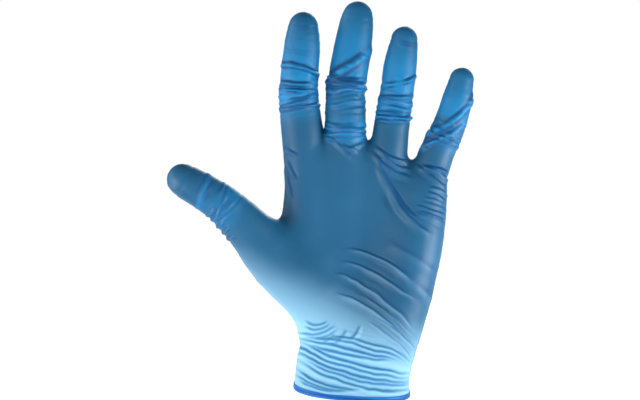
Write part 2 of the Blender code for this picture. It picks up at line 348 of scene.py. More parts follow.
def net_mesh(values, low):
    """Vertices and quads of the zero surface.

    There is a vertex in each cell that the surface passes through, at the mean of where it crosses the
    cell's edges, and a quad round each grid edge that it crosses, between the four cells round the edge.
    """
    inside = values < 0
    corners = [(i, j, k) for i in (0, 1) for j in (0, 1) for k in (0, 1)]
    cells = np.array(values.shape) - 1
    count = sum(inside[i:i + cells[0], j:j + cells[1], k:k + cells[2]].astype(np.int8)
                for i, j, k in corners)
    used = (count > 0) & (count < 8)
    where = np.argwhere(used)
    number = np.full(cells, -1, np.int64)
    number[used] = np.arange(len(where))
    held = np.stack([values[where[:, 0] + i, where[:, 1] + j, where[:, 2] + k] for i, j, k in corners], 1)
    total, crossings = np.zeros((len(where), 3)), np.zeros(len(where))
    for a in range(8):
        for b in range(a + 1, 8):
            if sum(p != q for p, q in zip(corners[a], corners[b])) != 1:
                continue
            crossed = (held[:, a] < 0) != (held[:, b] < 0)
            t = held[crossed, a] / (held[crossed, a] - held[crossed, b])
            ends = np.array(corners[a], float), np.array(corners[b], float)
            total[crossed] += ends[0] + t[:, None] * (ends[1] - ends[0])
            crossings[crossed] += 1
    points = np.asarray(low) + GRID_STEP * (where + total / crossings[:, None])
    quads = []
    for axis in range(3):
        one, two = [k for k in range(3) if k != axis]
        before, after = np.delete(inside, -1, axis), np.delete(inside, 0, axis)
        spot = np.argwhere(before != after)
        past_first = (spot[:, [one, two]] > 0).all(1)
        spot = spot[past_first & (spot[:, one] < cells[one]) & (spot[:, two] < cells[two])]
        leaving = before[tuple(spot.T)]
        ring = []
        for back_one, back_two in ((1, 1), (0, 1), (0, 0), (1, 0)):
            cell = spot.copy()
            cell[:, one] -= back_one
            cell[:, two] -= back_two
            ring.append(number[tuple(cell.T)])
        ring = np.stack(ring, 1)
        turn = leaving if axis != 1 else ~leaving
        ring[~turn] = ring[~turn][:, ::-1]
        quads.append(ring)
    return sheared(points), np.vstack(quads)


def edges_of(quads):
    """Each edge once, as pairs of vertices, and for each quad the numbers of its four edges."""
    pairs = np.stack([quads, np.roll(quads, -1, axis=1)], -1).reshape(-1, 2)
    edges, of_quad = np.unique(np.sort(pairs, 1), axis=0, return_inverse=True)
    return edges, of_quad.reshape(-1, 4)


def relaxed(points, quads, rim, times):
    """Each point moves halfway to the mean of its neighbours, so many times over. Rim points stay."""
    edges, _ = edges_of(quads)
    ends = np.concatenate([edges, edges[:, ::-1]])
    counts = np.bincount(ends[:, 0], minlength=len(points))[:, None]
    for _ in range(times):
        total = [np.bincount(ends[:, 0], points[ends[:, 1], k], len(points)) for k in range(3)]
        mean = np.stack(total, 1) / counts
        points = np.where(rim[:, None], points, points + 0.5 * (mean - points))
    return points


def split_finer(points, quads):
    """Each quad into four, with new vertices at the middles of its edges and at its own middle."""
    edges, of_quad = edges_of(quads)
    middles = points[edges].mean(1)
    centres = points[quads].mean(1)
    mid = of_quad + len(points)
    centre = np.arange(len(quads)) + len(points) + len(edges)
    fine = [np.stack([quads[:, k], mid[:, k], centre, mid[:, k - 1]], 1) for k in range(4)]
    return np.vstack([points, middles, centres]), np.vstack(fine)


def rim_vertices(quads, count):
    """Which of so many vertices are on an edge of one quad only."""
    edges, of_quad = edges_of(quads)
    used = np.bincount(of_quad.ravel(), minlength=len(edges))
    rim = np.zeros(count, bool)
    rim[edges[used == 1]] = True
    return rim


def onto_mouth(points, rim):
    """Rim points drop onto the mouth's plane."""
    points = points.copy()
    points[rim, 2] = mouth_height(points[rim])
    return points


def film_surface():
    """The film before its folds, as points and quads."""
    low = np.array([CAD_LOW[0] / MM - GRID_ROOM, -GRID_HALF_DEPTH, 0.0])
    high = np.array([CAD_HIGH[0] / MM + GRID_ROOM, GRID_HALF_DEPTH, CAD_HIGH[2] / MM + GRID_ROOM])
    cells = np.ceil((high - low) / (2 * GRID_STEP)).astype(int)
    points, quads = net_mesh(grid_field(low, cells), low)
    rim = rim_vertices(quads, len(points))
    points = draw_onto_field(relaxed(points, quads, rim, 2), 2)
    points, quads = split_finer(onto_mouth(points, rim), quads)
    rim = rim_vertices(quads, len(points))
    points = draw_onto_field(points, 1)
    return onto_mouth(points, rim), quads


# ---------------------------------------------------------------- folds

# Odd numbers that scramble whole ones: one each for x, y, z and the seed, and two for the shuffles after.
SCRAMBLE = (73856093, 19349663, 83492791, 2654435761)
SHUFFLE = ((15, 2246822519), (13, 3266489917))
LOW_32, LOW_16 = 0xFFFFFFFF, 0xFFFF


def lattice_noise(points, seed):
    """Smooth noise from -1 to 1: a scrambled number at each whole-number point, blended along each axis."""
    cell = np.floor(points).astype(np.int64)
    t = points - cell
    t = t * t * (3.0 - 2.0 * t)
    total = np.zeros(len(points))
    for corner in range(8):
        step = np.array([corner & 1, (corner >> 1) & 1, (corner >> 2) & 1])
        x, y, z = (cell + step).T
        mixed = (x * SCRAMBLE[0] ^ y * SCRAMBLE[1] ^ z * SCRAMBLE[2] ^ seed * SCRAMBLE[3]) & LOW_32
        for shift, times in SHUFFLE:
            mixed = ((mixed ^ (mixed >> shift)) * times) & LOW_32
        value = ((mixed ^ (mixed >> 16)) & LOW_16) / (LOW_16 / 2) - 1.0
        total += value * np.where(step, t, 1.0 - t).prod(1)
    return total


# An arc: its left and right ends, each so far right of and above a landmark, and how far it bows up between.
Arc = namedtuple("Arc", "start end bow")
# A fan: so many folds, spaced evenly from the first arc to the last one; their height and width; and how
# many times gentler their right side is than their left.
Fan = namedtuple("Fan", "count first last height width lean")

PALM_FANS = (
    Fan(4, Arc(("wrist", -12, 60), ("wrist", 32, 36), 4),
        Arc(("wrist", -14, 31), ("wrist", 34, -5), 5), 1.4, 0.62, 3.2),
    Fan(4, Arc(("wrist", 4, 34), ("wrist", 33, 10), 2),
        Arc(("wrist", 6, 14), ("wrist", 34, -10), 2), 0.8, 0.55, 1.8),
    Fan(2, Arc(("wrist", 14, 62), ("wrist", 46, 40), 1),
        Arc(("wrist", 12, 54), ("wrist", 44, 22), 1), 0.4, 1.8, 1.8),
)
WRIST_FANS = (
    Fan(4, Arc(("wrist", -30, 4), ("wrist", 33, -12), 6),
        Arc(("wrist", -32, -1), ("wrist", 22, -11), 0), 1.1, 0.85, 1.6),
    Fan(5, Arc(("wrist", -35, 0), ("wrist", 34, -19), -2),
        Arc(("wrist", -37, -11), ("wrist", 33, -29), -4), 1.2, 0.9, 1.6),
    Fan(3, Arc(("mouth", -36, 15), ("mouth", 2, 3), -3),
        Arc(("mouth", -37, 8), ("mouth", -10, 3), -2), 0.9, 0.85, 1.5),
    Fan(4, Arc(("wrist", -33, 13), ("wrist", -16, 12), -3),
        Arc(("wrist", -34, 4), ("wrist", -10, 9), -3), 0.7, 0.8, 1.4),
    Fan(3, Arc(("wrist", -21, 0), ("wrist", -12, 6), -1),
        Arc(("wrist", -5, 1), ("wrist", 2, 12), -1), 0.6, 0.9, 1.3),
)
EDGE_FANS = (
    Fan(2, Arc(("ring_finger", -6, -12), ("little_finger", -8, -44), -4),
        Arc(("ring_finger", 0, -34), ("little_finger", -6, -49), -3), 1.5, 1.1, 2.4),
    Fan(3, Arc(("ring_finger", -12, -4), ("ring_finger", 12, -16), -2),
        Arc(("ring_finger", -8, -10), ("ring_finger", 12, -26), -2), 1.2, 0.9, 2.2),
    Fan(3, Arc(("little_finger", -8, -9), ("little_finger", 8, -14), 1),
        Arc(("little_finger", -13, -7), ("little_finger", 7, -25), 1), 1.2, 0.9, 2.0),
    Fan(7, Arc(("little_finger", -6, -21), ("little_finger", 7, -28), 1),
        Arc(("little_finger", -14, -37), ("little_finger", 5, -45), 1), 0.8, 0.8, 1.5),
    Fan(3, Arc(("index_finger", -11, -12), ("index_finger", -2, -18), 0),
        Arc(("index_finger", -10, -22), ("index_finger", -5, -44), -1), 0.8, 0.9, 1.5),
    Fan(3, Arc(("middle_finger", -9, -9), ("middle_finger", 4, -22), 0),
        Arc(("middle_finger", 0, -15), ("middle_finger", 12, -11), -1), 0.6, 0.9, 1.5),
)
THUMB_FANS = (
    Fan(5, Arc(("thumb", -30, 12), ("thumb", -21, 20), -1),
        Arc(("thumb", -19, 0), ("thumb", -10, 2), -1), 0.9, 0.8, 1.3),
    Fan(1, Arc(("thumb", -50, 33), ("thumb", -34, 22), 0),
        Arc(("thumb", -50, 33), ("thumb", -34, 22), 0), 0.5, 1.2, 1.4),
)
FRONT_FANS = PALM_FANS + WRIST_FANS + EDGE_FANS + THUMB_FANS
BACK_FANS = (
    Fan(5, Arc(("wrist", -36, 3), ("wrist", 35, -13), -2),
        Arc(("mouth", -36, 9), ("mouth", 34, 3), 1), 1.0, 0.9, 1.5),
    Fan(3, Arc(("wrist", -33, 12), ("wrist", 36, -3), -2),
        Arc(("wrist", -30, 34), ("wrist", 42, 22), -3), 0.7, 1.1, 1.7),
    Fan(3, Arc(("index_finger", 8, -38), ("index_finger", 13, -9), 1),
        Arc(("ring_finger", 3, -42), ("ring_finger", 13, -17), 1), 0.7, 1.2, 1.8),
    Fan(3, Arc(("thumb", 17, 8), ("thumb", 36, 0), -1),
        Arc(("thumb", 14, 1), ("thumb", 31, -13), -2), 0.6, 1.1, 1.7),
    Fan(3, Arc(("little_finger", -14, -30), ("little_finger", 7, -25), 1),
        Arc(("little_finger", -15, -42), ("little_finger", 6, -36), 1), 0.7, 0.9, 1.6),
)

# A bunch of rings round a stall: how far past a knuckle its middle is, how far it reaches each way, how
# many rings it has, how much higher each is at the stall's right edge, how far it bows up on the front, its
# height and width, and the share of the height that is left at the back.
Bunch = namedtuple("Bunch", "knuckle past reach count slope bow height width back")
BUNCHES = {
    "index_finger": (
        Bunch("mid", 13, 0, 1, -2.5, 2.5, 1.5, 1.1, 0.5), Bunch("mid", -2, 7, 7, 0.8, 0.3, 1.0, 0.85, 0.8),
        Bunch("end", 14, 2, 2, 0.6, -1.0, 0.35, 0.8, 0.1), Bunch("end", 2, 0, 1, 0.5, 0.6, 0.3, 0.8, 0.6),
    ),
    "middle_finger": (
        Bunch("mid", 14, 0, 1, 10.0, 0.0, 1.2, 2.6, 0.2), Bunch("mid", 2, 3.0, 3, 0.4, 0.3, 1.8, 1.2, 0.6),
        Bunch("mid", -9, 4, 3, 0.2, 0.5, 0.4, 0.8, 0.6), Bunch("base", -4, 4, 4, 0.2, -0.6, 0.8, 0.85, 0.2),
    ),
    "ring_finger": (
        Bunch("mid", 13, 0, 1, 3.0, -1.6, 1.4, 0.9, 0.4), Bunch("mid", -1, 5, 4, 0.2, 0.3, 0.9, 0.9, 0.7),
        Bunch("mid", -8, 0, 1, 0.8, -0.5, 1.5, 0.9, 0.5), Bunch("end", 14, 0, 1, -0.8, -0.8, 0.4, 0.8, 0.1),
    ),
    "little_finger": (
        Bunch("mid", 4, 0, 1, 13.0, 0.0, 1.2, 2.4, 0.2), Bunch("mid", -6, 0, 1, 12.0, 0.0, 0.7, 1.6, 0.2),
        Bunch("mid", -3, 6, 3, 0.5, 0.5, 0.25, 0.9, 1.0), Bunch("base", 9, 3, 3, -0.4, 0.3, 0.4, 0.8, 0.6),
    ),
    "thumb": (
        Bunch("end", 0, 6, 4, 1.0, 0.4, 0.4, 0.9, 1.0), Bunch("end", 14, 0, 1, 3.0, 2.0, 0.5, 1.4, 0.3),
    ),
}

# How far folds and rings waver, and the noise that moves them: its two grains and the finer one's share.
WANDER = 0.8
WANDER_COARSE, WANDER_FINE, WANDER_FINE_SHARE = 11.0, 4.5, 0.45

# A fan's folds: how far their ends stray, at most, and as shares of their length and of the space between
# them; how far they slip along, as a share of their length; and the least and most of their height.
FAN_JITTER, JITTER_SHARE, APART_SHARE = 1.0, 0.03, 0.2
FAN_SLIP = 0.09
FOLD_LEAST, FOLD_MOST = 0.75, 1.15

# A route's runs, the share of it over which a fold rises and falls, and how many widths a fold reaches.
ROUTE_STEPS, FOLD_ENDS, FOLD_REACH = 8, 0.22, 3.0

# The troughs beside a fold and its steep foot, which gets painted shade: how many widths from the crest,
# and how wide.
TROUGH, TROUGH_AT, TROUGH_HALF = 0.28, 1.8, 0.75
FOOT_AT, FOOT_HALF = 1.3, 0.7

# Rings: how they stray, how much their height changes, how gentle their far side is, and the painted
# shade in their feet: how strong, where and how wide.
RING_JITTER, RING_CHANGE, RING_LEAN = 0.9, 0.25, 1.5
RING_SHADE, RING_FOOT_AT, RING_FOOT_HALF = 1.35, 1.6, 0.8

# A ring fades in and out round the stall, by noise about a middle, between limits.
FADING, FADING_SWING, FADING_ROUND = 0.75, 0.9, 1.6
FADING_LEAST, FADING_MOST = 0.05, 1.1

# A stall's rings are higher in some patches than in others.
PATCH, PATCH_SWING, PATCH_LONG, PATCH_ROUND = 0.85, 0.45, 9.0, 1.3

# Crumples: their height as a share of the rings', how far past a bunch they go, how sharp their ridges are,
# how far apart along and round the stall, how much they waver, and how much less high they are at the back.
CRUMPLE_SHARE, CRUMPLE_MARGIN, CRUMPLE_RIDGE = 0.36, 3.0, 2.2
CRUMPLE_LONG, CRUMPLE_ROUND, CRUMPLE_WARP, CRUMPLE_BACK = 2.6, 1.1, 1.5, 0.35

# How far from a stall's skin its rings reach, and fade, and how far through it front turns to back.
STALL_MARGIN, MARGIN_FADE, BACK_FADE = 2.5, 2.0, 0.45

# Above its mid knuckle a finger's film is loose and a stronger blue, partly painted light on the upper
# fingers, and it has less of that towards its tip.
LOOSE_LIT_TOP, LOOSE_LIT_FADE = 0.74, 8.0
TIP_DULLING, TIP_REACH = 0.55, 20.0

# Front folds change to back folds where the film faces sideways.
FRONT_FADE = 0.3

# Crepe, the fine lines over the wrist: where they start and how fast, their slant on the front and its
# share at the back, how long and how far apart they are, and their height.
WRIST_TOP, WRIST_FADE = 46.0, 14.0
CREPE_SLANT, CREPE_BACK = 0.28, 0.6
CREPE_LONG, CREPE_APART, CREPE_HEIGHT = 26.0, 2.4, 0.32

# Unevenness all over: height, size and seed.
UNEVEN = ((0.22, 13.0, 41), (0.05, 3.2, 43))

# The least and greatest height of all, and the height above the mouth over which the bead lets go.
LOWEST, HIGHEST = -1.6, 3.2
MOUTH_HOLD = 3.0

# The film is paler over the ball of the thumb and the wrist, below a slanting line: painted light there,
# partly the paler tone of film drawn thin.
THIN_LIT_BELOW, THIN_LIT_SLANT, THIN_LIT_FADE = 66.0, 0.42, 46.0
THIN_LIT_SHARE = 0.78

# Crests get a painted highlight in the same pale colour, the more the higher they are and the nearer the
# wrist.
CREST_HIGHLIGHT_SHARE, CREST_HEIGHT = 0.24, 1.4
WRISTWARDS, WRISTWARDS_FADE = 110.0, 60.0

# Where the film is pale with painted light, the feet of folds get less painted shade, and show the
# stronger blue of doubled film, which also stands in for the shade in them.
THIN_LIT_FOOT, VALLEY_SHARE = 0.72, 0.95


def landmarks():
    """Where fans are measured from, as (x, z): the wrist, the mouth below it, and each base knuckle."""
    wrist = np.array(JOINTS["wrist_bend"]["pos_m"])[[0, 2]] / MM
    roots = {name: knuckle_line(name)[0][0, [0, 2]] for name in KNUCKLES}
    return {"wrist": wrist, "mouth": wrist * (1.0, 0.0), **roots}


LANDMARKS = landmarks()


def place(end):
    """Where an arc's end is, as (x, z)."""
    name, right, up = end
    return LANDMARKS[name] + (right, up)


def fan_folds(fan, random):
    """A fan's folds, as (route, height). A route is a parabola that leaves its chord by the arc's bow."""
    apart = np.linalg.norm(place(fan.last.start) - place(fan.first.start)) / max(fan.count - 1, 1)
    for t in np.linspace(0.0, 1.0, fan.count):
        start = place(fan.first.start) * (1 - t) + place(fan.last.start) * t
        end = place(fan.first.end) * (1 - t) + place(fan.last.end) * t
        bow = fan.first.bow * (1 - t) + fan.last.bow * t
        jitter = min(FAN_JITTER, JITTER_SHARE * np.linalg.norm(end - start), APART_SHARE * apart)
        start = start + random.normal(0.0, jitter, 2)
        end = end + random.normal(0.0, jitter, 2)
        start = start + (end - start) * random.normal(0.0, FAN_SLIP)
        chord = end - start
        u = np.linspace(0.0, 1.0, ROUTE_STEPS + 1)[:, None]
        up = np.array([-chord[1], chord[0]]) / np.linalg.norm(chord)
        route = start + u * chord + 4.0 * u * (1.0 - u) * bow * up
        yield route, fan.height * random.uniform(FOLD_LEAST, FOLD_MOST)


def across_fold(q, lean):
    """Across a fold: a bell that is 1 at the crest and gentler on its right, with a trough on each side."""
    q = np.where(q < 0, q / lean, q)
    return np.exp(-q * q) - TROUGH * np.exp(-((np.abs(q) - TROUGH_AT) / TROUGH_HALF) ** 2)


def fan_heights(points, fans, seed):
    """Heights of fans drawn in x and z; and how deep in a fold's steep foot each point is, for painted shade.

    The distance to the nearest run of a route, positive to its left, goes into the bell, and the height
    comes up and goes down again smoothly over the ends of the route.
    """
    random = np.random.default_rng(seed)
    height, crease_shade = np.zeros((2, len(points)))
    for fan in fans:
        for line, high in fan_folds(fan, random):
            reach = FOLD_REACH * fan.width * fan.lean
            near = np.flatnonzero(((points > line.min(0) - reach) & (points < line.max(0) + reach)).all(1))
            run = np.diff(line, axis=0)
            off = points[near][:, None] - line[:-1]
            t = np.clip((off * run).sum(-1) / (run**2).sum(-1), 0.0, 1.0)
            off -= t[..., None] * run
            distance = np.hypot(off[..., 0], off[..., 1])
            row, nearest = np.arange(len(near)), distance.argmin(1)
            left = np.sign(run[nearest, 0] * off[row, nearest, 1] - run[nearest, 1] * off[row, nearest, 0])
            along = (nearest + t[row, nearest]) / len(run)
            ends = smooth(along / FOLD_ENDS) * smooth((1.0 - along) / FOLD_ENDS)
            q = left * distance[row, nearest] / fan.width
            height[near] += high * ends * across_fold(q, fan.lean)
            # The steep foot gets painted shade, partly the deeper blue of overlapped film.
            steep = min(high, 1.0) * ends * np.exp(-((q - FOOT_AT) / FOOT_HALF) ** 2)
            crease_shade[near] = np.maximum(crease_shade[near], steep)
    return height, crease_shade


def knuckle_length(name, knuckle):
    """How far along a stall's limb a knuckle is."""
    inside = THENAR if name == "thumb" else METACARPALS[name]
    return LIMBS[name].lengths[LIMB_STEPS * (len(inside) + KNUCKLES[name].index(knuckle))]


def ring_heights(name, points, warp, random):
    """Rings and crumples of one stall: its points, and each one's height, painted shade in a ring's foot, and
    slack, partly painted light.

    A ring's crest is tilted by slope times the sideways share and bowed by bow times (1 - the share
    squared), up on the front and down on the back. Crumples are ridged noise, 1 less its size, that changes
    fast along the stall and slowly round it, and they fill each bunch.
    """
    distance, along, side, through = limb_distance(LIMBS[name], points)
    near = np.flatnonzero(distance < STALL_MARGIN)
    points, warp = points[near], warp[near]
    distance, along, side, through = distance[near], along[near], side[near], through[near]
    here = smooth((STALL_MARGIN - distance) / MARGIN_FADE)
    back = smooth((through + BACK_FADE) / (2.0 * BACK_FADE))
    height, crease_shade, slack_and_lit = np.zeros((3, len(points)))
    patches = np.column_stack([along / PATCH_LONG, side * PATCH_ROUND, through * PATCH_ROUND])
    patchy = PATCH + PATCH_SWING * lattice_noise(patches, 11)
    wavering = (along + CRUMPLE_WARP * warp) / CRUMPLE_LONG
    crumples = np.column_stack([wavering, side * CRUMPLE_ROUND, through * CRUMPLE_ROUND])
    ridged = 1.0 - CRUMPLE_RIDGE * np.abs(lattice_noise(crumples, 23))
    for bunch in BUNCHES[name]:
        middle = knuckle_length(name, bunch.knuckle) + bunch.past
        left_over = 1.0 - back * (1.0 - bunch.back)
        share = left_over * patchy
        for at in middle + np.linspace(-bunch.reach, bunch.reach, bunch.count):
            shift, tilt, high = random.normal(0.0, RING_JITTER, 3)
            bowed = (bunch.bow + shift) * (1.0 - side**2) * (1.0 - 2.0 * back)
            q = (along + warp - at - (bunch.slope + tilt) * side - bowed) / bunch.width
            place_round = [side * FADING_ROUND, through * FADING_ROUND, np.full(len(points), at)]
            fading = FADING + FADING_SWING * lattice_noise(np.column_stack(place_round), 17)
            fading = np.clip(fading, FADING_LEAST, FADING_MOST)
            ring = bunch.height * (1.0 - RING_CHANGE * abs(high)) * share * fading
            height += ring * across_fold(q, RING_LEAN)
            # A ring's foot gets painted shade.
            steep = np.exp(-((np.abs(q) - RING_FOOT_AT) / RING_FOOT_HALF) ** 2)
            crease_shade = np.maximum(crease_shade, np.minimum(RING_SHADE * ring, 1.0) * steep)
        band = np.exp(-((along - middle - bunch.slope * side) / (bunch.reach + CRUMPLE_MARGIN)) ** 2)
        height += CRUMPLE_SHARE * bunch.height * ridged * band * (1.0 - CRUMPLE_BACK * back)
        slack_and_lit = np.maximum(slack_and_lit, band * left_over * min(bunch.height, 1.0))
    # Above the mid knuckle: slack film, partly painted light on the upper fingers.
    if name in FINGERS:
        slack_and_lit = np.maximum(slack_and_lit, LOOSE_LIT_TOP * smooth((along - knuckle_length(name, "mid")) / LOOSE_LIT_FADE))
    slack_and_lit = slack_and_lit * (1.0 - TIP_DULLING * smooth((along - along.max() + TIP_REACH) / TIP_REACH))
    return near, height * here, crease_shade * here, slack_and_lit * here


def film_heights(points, normals):
    """How far each point of the film moves out, and the marks that its material reads.

    The folds on the front and the back fade into each other round the sides. Noise makes their routes
    waver, and they die away at the mouth, where the bead holds the film. The marks, from 0 to 1, say how
    deep a point is in a fold's foot, for painted shade there; how slack the film is, partly painted light on
    the upper fingers; and how pale it is, painted light partly from film drawn thin, with painted highlights
    on crests.
    """
    wander = np.stack([lattice_noise(points / WANDER_COARSE, seed) for seed in (1, 2)], 1)
    wander += WANDER_FINE_SHARE * np.stack([lattice_noise(points / WANDER_FINE, seed) for seed in (3, 4)], 1)
    flat = points[:, [0, 2]] + WANDER * wander
    front = smooth((FRONT_FADE - normals[:, 1]) / (2.0 * FRONT_FADE))
    front_height, front_crease_shade = fan_heights(flat, FRONT_FANS, 5)
    back_height, back_crease_shade = fan_heights(flat, BACK_FANS, 6)
    height = front * front_height + (1.0 - front) * back_height
    crease_shade = np.maximum(front * front_crease_shade, (1.0 - front) * back_crease_shade)
    wrist = smooth((WRIST_TOP - points[:, 2]) / WRIST_FADE)
    slack_and_lit = np.zeros(len(points))
    random = np.random.default_rng(7)
    for name in KNUCKLES:
        near, ring, ring_crease_shade, ring_slack_and_lit = ring_heights(name, points, WANDER * wander[:, 1], random)
        height[near] += ring
        crease_shade[near] = np.maximum(crease_shade[near], ring_crease_shade)
        slack_and_lit[near] = np.maximum(slack_and_lit[near], ring_slack_and_lit)
    slant = points[:, 2] + CREPE_SLANT * points[:, 0] * np.where(normals[:, 1] < 0, 1.0, CREPE_BACK)
    crepe = np.column_stack([points[:, 0] / CREPE_LONG, points[:, 1] / CREPE_LONG, slant / CREPE_APART])
    height += CREPE_HEIGHT * wrist * (1.0 - 2.0 * np.abs(lattice_noise(crepe, 31)))
    height += sum(high * lattice_noise(points / size, seed) for high, size, seed in UNEVEN)
    hold = smooth((points[:, 2] - mouth_height(points)) / MOUTH_HOLD)
    height = np.clip(height, LOWEST, HIGHEST) * hold
    # Paler below a slanting line: painted light, partly film drawn thin.
    thin_and_lit = smooth((THIN_LIT_BELOW - THIN_LIT_SLANT * points[:, 0] - points[:, 2]) / THIN_LIT_FADE)
    # Painted highlight on the crests, in the pale colour.
    crest_highlight = CREST_HIGHLIGHT_SHARE * np.clip(height / CREST_HEIGHT, 0.0, 1.0)
    crest_highlight = crest_highlight * smooth((WRISTWARDS - points[:, 2]) / WRISTWARDS_FADE)
    # In the pale part, the feet of folds take the stronger blue, for doubled film and for the shade in them.
    valley = VALLEY_SHARE * np.sqrt(crease_shade) * thin_and_lit * hold
    crease_shade = crease_shade * hold * (1.0 - THIN_LIT_FOOT * thin_and_lit)
    slack_and_lit = np.maximum(slack_and_lit * (1.0 - wrist), valley)
    return height, {"crease_shade": crease_shade, "slack_and_lit": slack_and_lit, "thin_and_lit": THIN_LIT_SHARE * thin_and_lit + crest_highlight}


# ---------------------------------------------------------------- pieces

def vertex_normals(points, quads):
    """The mean of the normals of the quads round each vertex, larger quads counting for more."""
    corners = points[quads]
    faces = np.cross(corners[:, 2] - corners[:, 0], corners[:, 3] - corners[:, 1])
    spread = np.repeat(faces, 4, axis=0)
    total = np.stack([np.bincount(quads.ravel(), column, len(points)) for column in spread.T], 1)
    return total / np.maximum(np.linalg.norm(total, axis=1), 1e-9)[:, None]


def add_mark(mesh, mark, values):
    """A number for each vertex, under a name that a material can read."""
    attribute = mesh.attributes.new(mark, "FLOAT", "POINT")
    attribute.data.foreach_set("value", values.astype(np.float32))


def add_object(name, mesh, material):
    """The mesh as an object of the scene, with the material."""
    mesh.materials.append(material)
    obj = bpy.data.objects.new(name, mesh)
    bpy.context.scene.collection.objects.link(obj)
    return obj


def film_piece(name, points, normals, quads, marks, material):
    """A closed piece of film: its outer quads, the same a film's thickness in, and quads along its edges."""
    used, quads = np.unique(quads, return_inverse=True)
    quads = quads.reshape(-1, 4)
    count = len(used)
    outer, ways = points[used], normals[used]
    pairs = np.stack([quads, np.roll(quads, -1, axis=1)], -1).reshape(-1, 2)
    _, first, times = np.unique(np.sort(pairs, 1), axis=0, return_index=True, return_counts=True)
    a, b = pairs[first[times == 1]].T
    wall = np.stack([b, a, a + count, b + count], 1)
    faces = np.vstack([quads, quads[:, ::-1] + count, wall])
    mesh = bpy.data.meshes.new(name)
    mesh.vertices.add(2 * count)
    mesh.vertices.foreach_set("co", (np.vstack([outer, outer - ways * FILM]) * MM).ravel())
    mesh.loops.add(faces.size)
    mesh.loops.foreach_set("vertex_index", faces.ravel().astype(np.int32))
    mesh.polygons.add(len(faces))
    mesh.polygons.foreach_set("loop_start", np.arange(0, faces.size, 4, dtype=np.int32))
    mesh.polygons.foreach_set("use_smooth", np.ones(len(faces), bool))
    mesh.update(calc_edges=True)
    for mark, values in marks.items():
        add_mark(mesh, mark, np.tile(values[used], 2))
    mesh.normals_split_custom_set_from_vertices(np.vstack([ways, -ways]).tolist())
    return add_object(name, mesh, material)


# How far before and past a finger's knuckle its span reaches, from which the cuts between its pieces are
# placed: in millimetres before the base one, and elsewhere as shares of the stall's half width there.
BASE_BEFORE, BASE_PAST, MID_REACH, END_REACH = 4.4, 0.6, 0.8, 0.75
# The same for the thumb, in millimetres, the way along it at its base, and where its two pieces part.
THUMB_REACH, THUMB_WAY, THUMB_CUT = 8.0, unit((-0.98, 0.0, 0.17)), 9.1
# How far before its first knuckle's span a stall is cut from the hand.
SEAM_BEFORE = 0.7
# A reach from the wrist's axis, the height where the cuff's piece ends, and where palm and back part.
WRIST_REACH, CUFF_TOP, SPLIT = 16.0, 46.5, 2.5


def turns_of(name):
    """For each knuckle of a stall, the start and end of the span round it, and the cut below it.

    A cut is a plane, as a point and the way past it. The knuckle's piece starts there.
    """
    centres, end, _, widths = knuckle_line(name)
    if name == "thumb":
        ways = [THUMB_WAY, unit(end - centres[1])]
        turns = [(centre - way * THUMB_REACH, centre + way * THUMB_REACH)
                 for centre, way in zip(centres, ways)]
        cuts = [turns[0][0] - THUMB_WAY * SEAM_BEFORE, centres[0] + THUMB_WAY * THUMB_CUT]
        return turns, [(cut, THUMB_WAY) for cut in cuts]
    way = unit(end - centres[0])
    before = (BASE_BEFORE, MID_REACH * widths[1], END_REACH * widths[2])
    past = (BASE_PAST * widths[0], *before[1:])
    turns = [(centre - way * back, centre + way * on) for centre, back, on in zip(centres, before, past)]
    cuts = [turns[0][0] - way * SEAM_BEFORE, *((turns[k][1] + turns[k + 1][0]) / 2 for k in (0, 1))]
    return turns, [(cut, way) for cut in cuts]


def sort_faces(points, quads):
    """The piece that each quad belongs to, as a number in the list of names that comes with it."""
    centres = points[quads].mean(1)
    names = ["cuff_film", "palm_film", "back_film"]
    piece = np.where(centres[:, 1] < SPLIT, 1, 2)
    piece[centres[:, 2] < CUFF_TOP] = 0
    distances = np.stack([limb_distance(LIMBS[name], centres)[0] for name in KNUCKLES])
    nearest = distances.argmin(0)
    for number, name in enumerate(KNUCKLES):
        for knuckle, (cut, way) in zip(KNUCKLES[name], turns_of(name)[1]):
            piece[(nearest == number) & ((centres - cut) @ way > 0) & (centres[:, 2] > CUFF_TOP)] = len(names)
            names.append(f"{name}_{knuckle}_film")
    return piece, names


# The bead: its radius, how many times taller it is, and its mesh.
BEAD_RADIUS, BEAD_TALL, BEAD_STATIONS, BEAD_SIDES = 1.2, 1.45, 360, 24
# Its notch: how deep, as a share of the radius; how wide it is, and its crease with painted shade, as
# angles; where it is, how far it sways and drifts round the tube, and how long the drifts are.
NOTCH_DEPTH, NOTCH_WIDTH, CREASE_WIDTH = 0.3, 0.5, 0.75
NOTCH_AT, NOTCH_SWAY, NOTCH_DRIFT, DRIFT_LONG = 0.1, 0.3, 0.25, 9.0
# How much the radius swells and shrinks, and over what length.
SWELL, SWELL_LONG = 0.14, 12.0
BEAD_SMOOTHINGS = 3


def mouth_line(rim_points):
    """The mouth as a closed line, evenly spaced by its turn round the middle, and the turn at each point."""
    middle = rim_points.mean(0)
    angles = np.arctan2(rim_points[:, 1] - middle[1], rim_points[:, 0] - middle[0])
    order = np.argsort(angles)
    turn = np.linspace(-math.pi, math.pi, BEAD_STATIONS, endpoint=False)
    line = np.column_stack([np.interp(turn, angles[order], column[order], period=2 * math.pi)
                            for column in rim_points.T])
    for _ in range(BEAD_SMOOTHINGS):
        line = (np.roll(line, 1, axis=0) + 2.0 * line + np.roll(line, -1, axis=0)) / 4.0
    return line, turn


